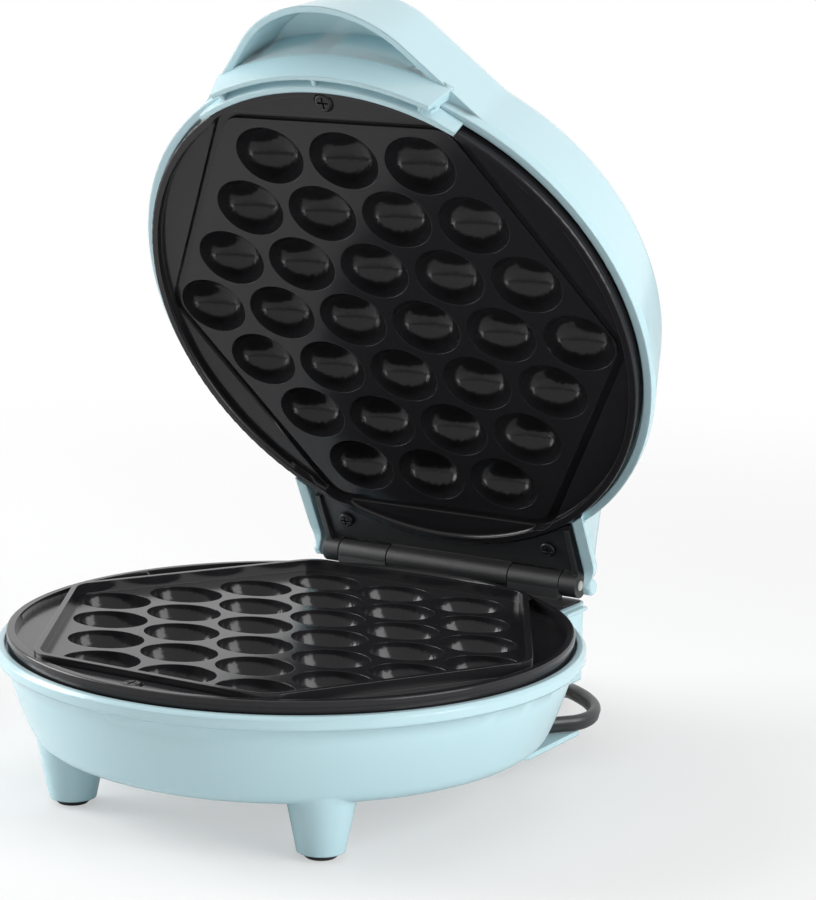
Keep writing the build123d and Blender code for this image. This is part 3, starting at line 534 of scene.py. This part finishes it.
class PAN_OT_shells(bpy.types.Operator):
    """Trim the finger guard's ends, and finish it, the base and the lid in glossy plastic"""

    bl_idname = "pan.shells"
    bl_label = "Shells"

    def execute(self, context):
        look = context.scene.pan_shell
        plastic = finish(
            "aqua plastic", look.plastic, look.roughness, scale=1400, depth=look.grain,
            drift=0.03, drift_scale=9, spread=0.05, edge=0.0009,
        )
        moulding(merged_copy("base_shell"), "base_shell", plastic, "base")
        moulding(merged_copy("lid_shell"), "lid_shell", plastic, "lid")
        guard = merged_copy("finger_guard")
        trim_guard_ends(guard, look)
        moulding(guard, "finger_guard", plastic, "lid")
        return {"FINISHED"}


class PAN_OT_plates(bpy.types.Operator):
    """Coat both baking plates with non-stick"""

    bl_idname = "pan.plates"
    bl_label = "Baking plates"

    def execute(self, context):
        look = context.scene.pan_plate
        coating = finish(
            "non-stick coating", look.coating, look.roughness, scale=2600, depth=look.grain,
            drift=0.35, drift_scale=900, spread=0.08, IOR=1.35,
        )
        moulding(merged_copy("lower_plate"), "lower_plate", coating, "base", angle=24)
        moulding(merged_copy("upper_plate"), "upper_plate", coating, "lid", angle=24)
        return {"FINISHED"}


class PAN_OT_hinge(bpy.types.Operator):
    """Powder-coat the hinge brackets, rough in the middle and smooth on the outer knuckles"""

    bl_idname = "pan.hinge"
    bl_label = "Hinge brackets"

    def execute(self, context):
        look = context.scene.pan_hinge
        paint = finish(
            "powder coat", look.paint, look.roughness, scale=1900, depth=look.grain,
            drift=0.5, drift_scale=1500, spread=0.12,
        )
        tree = paint.node_tree
        add, link = tree.nodes.new, tree.links.new
        grain = next(node for node in tree.nodes if node.type == "GROUP" and "Depth" in node.inputs)
        place = add("ShaderNodeTexCoord")
        split = add("ShaderNodeSeparateXYZ")
        away = add("ShaderNodeMath")
        rough_part = add("ShaderNodeMath")
        depth = add("ShaderNodeMath")
        away.operation = "ABSOLUTE"
        rough_part.operation = "LESS_THAN"
        rough_part.inputs[1].default_value = look.smooth_from
        depth.operation = "MULTIPLY"
        depth.inputs[1].default_value = look.grain
        link(place.outputs["Object"], split.inputs["Vector"])
        link(split.outputs["X"], away.inputs[0])
        link(away.outputs[0], rough_part.inputs[0])
        link(rough_part.outputs[0], depth.inputs[0])
        link(depth.outputs[0], grain.inputs["Depth"])
        # lighter grey laid along the brackets' edges
        lighten_edges(paint, edge_colour=(0.12, 0.12, 0.12), width=0.0005, amount=0.5)
        dress(paint, "base_hinge_bracket", "lid_hinge_bracket")
        return {"FINISHED"}


class PAN_OT_screws(bpy.types.Operator):
    """Finish the black screws, the plated screws and the hinge pins"""

    bl_idname = "pan.screws"
    bl_label = "Screws and pins"

    def execute(self, context):
        look = context.scene.pan_screw
        black = finish(
            "black oxide", look.black_oxide, roughness=0.34, scale=3000, depth=0.00001,
            drift=0.3, drift_scale=300, Metallic=0.6,
        )
        # lighter grey laid along the black screws' edges
        lighten_edges(black, edge_colour=(0.3, 0.3, 0.3), width=0.0003, amount=0.7)
        dress(black, "upper_plate_screw", "lower_plate_screw", "lid_hinge_screws", "base_hinge_screws")
        plated = finish(
            "zinc plate", look.zinc, roughness=0.3, scale=2400, depth=0.000008,
            drift=0.15, drift_scale=200, Metallic=1.0,
        )
        dress(plated, "upper_shield_screws", "lower_shield_screws", "hinge_pins")
        return {"FINISHED"}


class PAN_OT_feet(bpy.types.Operator):
    """Finish the four foot pads in matt rubber"""

    bl_idname = "pan.feet"
    bl_label = "Foot pads"

    def execute(self, context):
        look = context.scene.pan_foot
        rubber = finish(
            "foot rubber", look.rubber, look.roughness, scale=1800, depth=0.00005,
            drift=0.4, drift_scale=600, spread=0.15,
        )
        dress(rubber, "foot_pads")
        return {"FINISHED"}


# ---------------------------------------------------------------- mains lead
def lead_line():
    """Centre line of the lead: a dense row of points on a spline along its route."""
    curve = bpy.data.curves.new("lead line", "CURVE")
    curve.dimensions = "3D"
    spline = curve.splines.new("NURBS")
    spline.points.add(len(LEAD_ROUTE) - 1)
    for point, place in zip(spline.points, LEAD_ROUTE):
        point.co = (*place, 1)
    spline.order_u = 3
    spline.use_endpoint_u = True
    spline.resolution_u = 12
    guide = bpy.data.objects.new("lead line", curve)
    mesh = bpy.data.meshes.new_from_object(guide)
    line = [vertex.co.copy() for vertex in mesh.vertices]
    bpy.data.meshes.remove(mesh)
    bpy.data.objects.remove(guide)
    bpy.data.curves.remove(curve)
    return line


def twin_section(width, thickness, lean):
    """Outline of flat twin flex standing on edge: two round cores with a waist between them."""
    lobe = thickness / 2
    spacing = width / 2 - lobe
    waist = math.acos(min(1.0, spacing / lobe)) if spacing < lobe else 0.0
    outline = []
    steps = 12
    for sign in (1, -1):
        start = -math.pi + waist if sign > 0 else waist
        for step in range(steps + 1):
            turn = start + (2 * math.pi - 2 * waist) * step / steps + math.pi / 2
            across = lobe * math.cos(turn)
            along = sign * spacing + lobe * math.sin(turn)
            outline.append((across, along))
    # rounded, so that the points which both cores share fall together
    unlike = set((round(across, 7), round(along, 7)) for across, along in outline)
    ordered = sorted(unlike, key=lambda point: math.atan2(point[1], point[0]))
    cos_lean, sin_lean = math.cos(lean), math.sin(lean)
    return [(a * cos_lean - b * sin_lean, a * sin_lean + b * cos_lean) for a, b in ordered]


def swept_mesh(name, line, section):
    """Closed mesh of a section swept along a line."""
    build = bmesh.new()
    rings = []
    for index, place in enumerate(line):
        before, after = line[max(index - 1, 0)], line[min(index + 1, len(line) - 1)]
        ahead = (after - before).normalized()
        side = ahead.cross(Vector((0, 0, 1))).normalized()
        upward = side.cross(ahead)
        rings.append([build.verts.new(place + side * a + upward * b) for a, b in section])
    for ring, following in zip(rings, rings[1:]):
        for index in range(len(section)):
            other = (index + 1) % len(section)
            build.faces.new((ring[index], ring[other], following[other], following[index]))
    build.faces.new(rings[0])
    build.faces.new(reversed(rings[-1]))
    bmesh.ops.recalc_face_normals(build, faces=build.faces)
    mesh = bpy.data.meshes.new(name)
    build.to_mesh(mesh)
    build.free()
    return mesh


class PAN_OT_lead(bpy.types.Operator):
    """Lay the flat twin flex down behind the pan, round the cleat and back to its plug"""

    bl_idname = "pan.lead"
    bl_label = "Mains lead"

    def execute(self, context):
        look = context.scene.pan_lead
        line = lead_line()
        section = twin_section(look.width, look.thickness, look.lean)
        mesh = swept_mesh("mains_lead", line, section)
        lead = bpy.data.objects.new("mains_lead", mesh)
        context.scene.collection.objects.link(lead)
        select_only(lead)
        bpy.ops.object.shade_smooth_by_angle(angle=math.radians(50))
        sheath = finish(
            "lead sheath", look.sheath, look.roughness, scale=1600, depth=0.00002,
            drift=0.25, drift_scale=60, spread=0.1,
        )
        mesh.materials.append(sheath)
        dress(sheath, "cord_strain_relief")
        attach(lead, "base")
        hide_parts("power_cord")
        return {"FINISHED"}


class PAN_OT_plug(bpy.types.Operator):
    """Finish the plug's body and its two blades"""

    bl_idname = "pan.plug"
    bl_label = "Mains plug"

    def execute(self, context):
        look = context.scene.pan_plug
        body = finish(
            "plug body", look.body, roughness=0.45, scale=1500, depth=0.00003,
            drift=0.25, drift_scale=80, spread=0.1,
        )
        dress(body, "mains_plug")
        brass = finish(
            "brass", look.blades, roughness=0.24, scale=1900, depth=0.000006,
            drift=0.12, drift_scale=150, Metallic=1.0,
        )
        dress(brass, "plug_blades")
        return {"FINISHED"}


# ---------------------------------------------------------------- lamps, heat and wiring
class PAN_OT_lamps(bpy.types.Operator):
    """Finish the red and green lenses and the neon lamps under them"""

    bl_idname = "pan.lamps"
    bl_label = "Lamps"

    def execute(self, context):
        look = context.scene.pan_lamp
        for name, colour, node in (
            ("red lens", look.red, "power_lens_red"),
            ("green lens", look.green, "ready_lens_green"),
            ("lamp glass", look.glass, "neon_lamps"),
        ):
            lens = finish(
                name, colour, roughness=0.12, scale=1200, depth=0.000004,
                drift=0.08, drift_scale=120, spread=0.04, Transmission_Weight=0.55, IOR=1.49,
            )
            dress(lens, node)
        return {"FINISHED"}


class PAN_OT_heat(bpy.types.Operator):
    """Finish the heating tubes, the shields and the thermostats behind the plates"""

    bl_idname = "pan.heat"
    bl_label = "Heating"

    def execute(self, context):
        look = context.scene.pan_heat
        tube = finish(
            "heated steel", look.element, roughness=0.36, scale=1700, depth=0.00002,
            drift=0.6, drift_scale=35, spread=0.2, Metallic=1.0,
        )
        dress(tube, "lower_heating_element", "upper_heating_element", "base_thermostat", "lid_thermostat")
        sheet = finish(
            "bright aluminium", look.shield, roughness=0.28, scale=500, depth=0.00001,
            drift=0.1, drift_scale=40, spread=0.16, Metallic=1.0,
        )
        dress(sheet, "lower_heat_shield", "upper_heat_shield")
        return {"FINISHED"}


class PAN_OT_wiring(bpy.types.Operator):
    """Finish the terminals, the fuse, the lamp holder and the wires"""

    bl_idname = "pan.wiring"
    bl_label = "Wiring"

    def execute(self, context):
        look = context.scene.pan_heat
        white = finish(
            "insulator plastic", look.insulator, roughness=0.5, scale=1500, depth=0.00003,
            drift=0.06, drift_scale=70, spread=0.1,
        )
        dress(white, "thermal_fuse", "terminal_block", "lamp_holder")
        sleeve = finish(
            "glass sleeve", look.sleeve, roughness=0.7, scale=2600, depth=0.00012,
            drift=0.3, drift_scale=1800, spread=0.1,
        )
        dress(sleeve, "base_wires", "lid_wires")
        return {"FINISHED"}


# ---------------------------------------------------------------- studio
def add_floor(look):
    """Pale floor: it keeps the pan's shadow and fades to plain white further out."""
    just_below_the_feet = -0.0001
    bpy.ops.object.select_all(action="DESELECT")
    bpy.ops.mesh.primitive_plane_add(size=30, location=(0, 0, just_below_the_feet))
    floor = bpy.context.object
    floor.name = "floor"
    material = bpy.data.materials.new("floor")
    material.use_nodes = True
    tree = material.node_tree
    add, link = tree.nodes.new, tree.links.new
    shader, result = tree.nodes["Principled BSDF"], tree.nodes["Material Output"]
    shader.inputs["Base Color"].default_value = (look.floor, look.floor, look.floor, 1)
    shader.inputs["Roughness"].default_value = 0.75
    shader.inputs["Specular IOR Level"].default_value = 0.1
    place = add("ShaderNodeTexCoord")
    far = add("ShaderNodeVectorMath")
    fade = add("ShaderNodeMapRange")
    white = add("ShaderNodeEmission")
    path = add("ShaderNodeLightPath")
    seen = add("ShaderNodeMath")
    blend = add("ShaderNodeMixShader")
    far.operation = "LENGTH"
    fade.interpolation_type = "SMOOTHSTEP"
    fade.inputs["From Min"].default_value = 0.25
    fade.inputs["From Max"].default_value = 0.9
    fade.inputs["To Min"].default_value = 0.45
    seen.operation = "MULTIPLY"
    link(place.outputs["Object"], far.inputs[0])
    link(far.outputs["Value"], fade.inputs["Value"])
    link(fade.outputs["Result"], seen.inputs[0])
    link(path.outputs["Is Camera Ray"], seen.inputs[1])
    link(seen.outputs[0], blend.inputs["Fac"])
    link(shader.outputs["BSDF"], blend.inputs[1])
    link(white.outputs["Emission"], blend.inputs[2])
    link(blend.outputs["Shader"], result.inputs["Surface"])
    floor.data.materials.append(material)


def add_surroundings(look):
    """White all round: full white where it is seen, and as light dimmer in front than behind."""
    world = bpy.data.worlds.new("white studio")
    world.use_nodes = True
    tree = world.node_tree
    add, link = tree.nodes.new, tree.links.new
    background = tree.nodes["Background"]
    background.inputs["Color"].default_value = (1, 1, 1, 1)
    path = add("ShaderNodeLightPath")
    seen = add("ShaderNodeMath")
    through = add("ShaderNodeMath")
    level = add("ShaderNodeMapRange")
    for node in (seen, through):
        node.operation = "MAXIMUM"
    toward = add("ShaderNodeTexCoord")
    split = add("ShaderNodeSeparateXYZ")
    dimmer = add("ShaderNodeMapRange")
    dimmer.inputs["From Min"].default_value = -1
    dimmer.inputs["To Min"].default_value = look.surroundings_front
    dimmer.inputs["To Max"].default_value = look.surroundings
    link(toward.outputs["Generated"], split.inputs["Vector"])
    link(split.outputs["Y"], dimmer.inputs["Value"])
    link(dimmer.outputs["Result"], level.inputs["To Min"])
    link(path.outputs["Is Camera Ray"], seen.inputs[0])
    link(path.outputs["Is Glossy Ray"], seen.inputs[1])
    link(seen.outputs[0], through.inputs[0])
    link(path.outputs["Is Transmission Ray"], through.inputs[1])
    link(through.outputs[0], level.inputs["Value"])
    link(level.outputs["Result"], background.inputs["Strength"])
    bpy.context.scene.world = world


def add_light(name, place, size, energy):
    """Rectangular light at a place, turned towards the pan."""
    bpy.ops.object.light_add(type="AREA", location=place)
    lamp = bpy.context.object
    lamp.name = name
    lamp.data.energy = energy
    lamp.data.shape = "RECTANGLE"
    lamp.data.size, lamp.data.size_y = size
    lamp.rotation_euler = (Vector(LIGHTS_AIM) - Vector(place)).to_track_quat("-Z", "Y").to_euler()


def add_camera(look):
    """Camera at the given angles, with its aim measured from a foot near the plates' axis."""
    side = Vector((math.cos(look.azimuth), math.sin(look.azimuth), 0))
    level = math.cos(look.elevation)
    back = Vector((math.sin(look.azimuth) * level, -math.cos(look.azimuth) * level, math.sin(look.elevation)))
    up = back.cross(side)
    right = side * math.cos(look.roll) + up * math.sin(look.roll)
    upward = up * math.cos(look.roll) - side * math.sin(look.roll)
    foot = Vector((0, look.foot_depth, look.foot_height))
    eye = foot + right * look.aim_right + upward * look.aim_up + back * look.distance
    bpy.ops.object.camera_add()
    camera = bpy.context.object
    camera.name = "camera"
    camera.data.lens = look.focal_length
    camera.data.sensor_width = 36
    camera.matrix_world = Matrix.Translation(eye) @ Matrix((right, upward, back)).transposed().to_4x4()
    bpy.context.scene.camera = camera


class PAN_OT_stage(bpy.types.Operator):
    """Set up the floor, the white surroundings, the lights and the camera"""

    bl_idname = "pan.stage"
    bl_label = "Studio and camera"

    def execute(self, context):
        look = context.scene.pan_stage
        add_floor(look)
        add_surroundings(look)
        window = (0.8, 1.0)
        add_light("left window", place=(-1.2, -0.35, 0.55), size=window, energy=look.left_light)
        add_light("right window", place=(1.25, -0.05, 0.5), size=window, energy=look.right_light)
        add_light("top light", place=(-0.2, 0.1, 1.5), size=(1.2, 1.2), energy=look.top_light)
        add_camera(look)
        context.scene.view_settings.view_transform = "Standard"
        return {"FINISHED"}


# ---------------------------------------------------------------- add-on
SETTINGS = (
    ("pan_stage", StageSettings),
    ("pan_lead", LeadSettings),
    ("pan_plug", PlugSettings),
    ("pan_shell", ShellSettings),
    ("pan_plate", PlateSettings),
    ("pan_hinge", HingeSettings),
    ("pan_screw", ScrewSettings),
    ("pan_foot", FootSettings),
    ("pan_lamp", LampSettings),
    ("pan_heat", HeatSettings),
)
OPERATORS = (
    PAN_OT_stage,
    PAN_OT_lead,
    PAN_OT_plug,
    PAN_OT_shells,
    PAN_OT_plates,
    PAN_OT_hinge,
    PAN_OT_screws,
    PAN_OT_feet,
    PAN_OT_lamps,
    PAN_OT_heat,
    PAN_OT_wiring,
)


class PAN_PT_panel(bpy.types.Panel):
    """Settings and pieces of the egg waffle pan"""

    bl_idname = "PAN_PT_panel"
    bl_label = "Waffle Pan"
    bl_space_type = "VIEW_3D"
    bl_region_type = "UI"
    bl_category = "Waffle Pan"

    def draw(self, context):
        for operator in OPERATORS:
            self.layout.operator(operator.bl_idname)
        for name, group in SETTINGS:
            box = self.layout.box()
            for setting in group.__annotations__:
                box.prop(getattr(context.scene, name), setting)


def register():
    for name, group in SETTINGS:
        bpy.utils.register_class(group)
        setattr(bpy.types.Scene, name, bpy.props.PointerProperty(type=group))
    for operator in OPERATORS:
        bpy.utils.register_class(operator)
    bpy.utils.register_class(PAN_PT_panel)


def unregister():
    bpy.utils.unregister_class(PAN_PT_panel)
    for operator in reversed(OPERATORS):
        bpy.utils.unregister_class(operator)
    for name, group in reversed(SETTINGS):
        delattr(bpy.types.Scene, name)
        bpy.utils.unregister_class(group)


def main():
    register()
    bpy.ops.pan.stage()
    bpy.ops.pan.lead()
    bpy.ops.pan.plug()
    bpy.ops.pan.shells()
    bpy.ops.pan.plates()
    bpy.ops.pan.hinge()
    bpy.ops.pan.screws()
    bpy.ops.pan.feet()
    bpy.ops.pan.lamps()
    bpy.ops.pan.heat()
    bpy.ops.pan.wiring()


if __name__ == "__main__":
    main()
